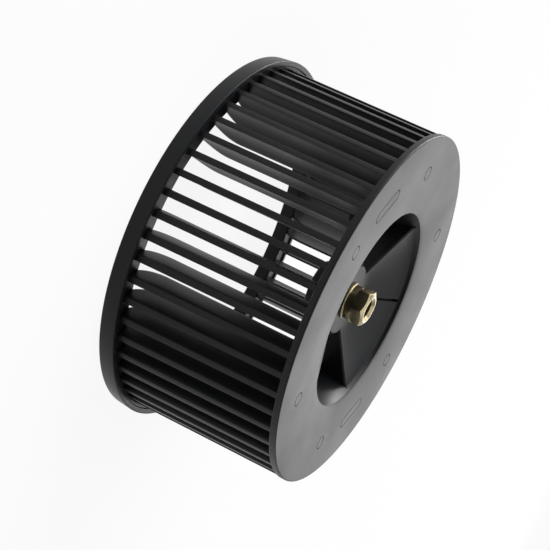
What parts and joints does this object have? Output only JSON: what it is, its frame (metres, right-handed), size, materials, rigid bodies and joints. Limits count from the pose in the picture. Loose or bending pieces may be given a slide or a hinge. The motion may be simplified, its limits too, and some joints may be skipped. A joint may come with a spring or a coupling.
{
  "type": "blower wheel",
  "caption": "Squirrel-cage blower wheel with straight curved blades, a dished back plate with air openings, an end ring and a brass hub bush.",
  "frame": {"origin": "on the axis, in the plane of the open end ring's foot", "axes": "+Z along the spin axis from the open inlet end to the back plate; +X and +Y span the plane of the ring"},
  "size_m": [0.16, 0.16, 0.078],
  "materials": {
    "black_plastic": "satin, glass-filled",
    "brass": "turned, satin"
  },
  "bodies": {
    "root": {"impeller": "black_plastic", "end_ring": "black_plastic", "hub_bush": "brass"}
  },
  "joints": []
}
